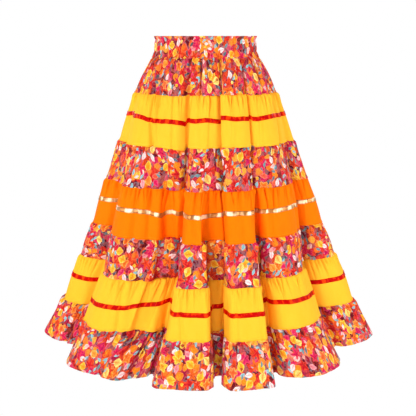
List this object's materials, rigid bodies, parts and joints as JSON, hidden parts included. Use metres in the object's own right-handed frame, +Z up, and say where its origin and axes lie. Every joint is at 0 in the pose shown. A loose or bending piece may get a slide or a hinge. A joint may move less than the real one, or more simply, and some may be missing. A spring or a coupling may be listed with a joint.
{
  "type": "prairie skirt",
  "caption": "Long gathered skirt in printed, yellow and orange tiers with ribbon trim and an elastic waist, in its hollow worn form.",
  "frame": {"origin": "centre of the waist, half-way up the waistband", "axes": "+Z up out of the waist, -Y the front of the wearer, +X to the wearer's left"},
  "size_m": [0.9438, 0.7475, 0.842],
  "materials": {
    "leaf_print": "matt cotton, printed all over with autumn leaves",
    "yellow_cotton": "plain matt cotton",
    "orange_cotton": "plain matt cotton",
    "red_satin": "satin ribbon",
    "gold_ribbon": "metallic gold ribbon"
  },
  "bodies": {
    "root": {"waistband": "leaf_print", "tier1_print_front": "leaf_print", "tier1_print_back": "leaf_print", "tier2_yellow_front": "yellow_cotton", "tier2_yellow_back": "yellow_cotton", "tier3_print_front": "leaf_print", "tier3_print_back": "leaf_print", "tier4_orange_front": "orange_cotton", "tier4_orange_back": "orange_cotton", "tier5_print_front": "leaf_print", "tier5_print_back": "leaf_print", "tier6_yellow_front": "yellow_cotton", "tier6_yellow_back": "yellow_cotton", "tier7_print_front": "leaf_print", "tier7_print_back": "leaf_print", "ribbon1_red": "red_satin", "ribbon2_gold": "gold_ribbon", "ribbon3_red": "red_satin"}
  },
  "joints": []
}
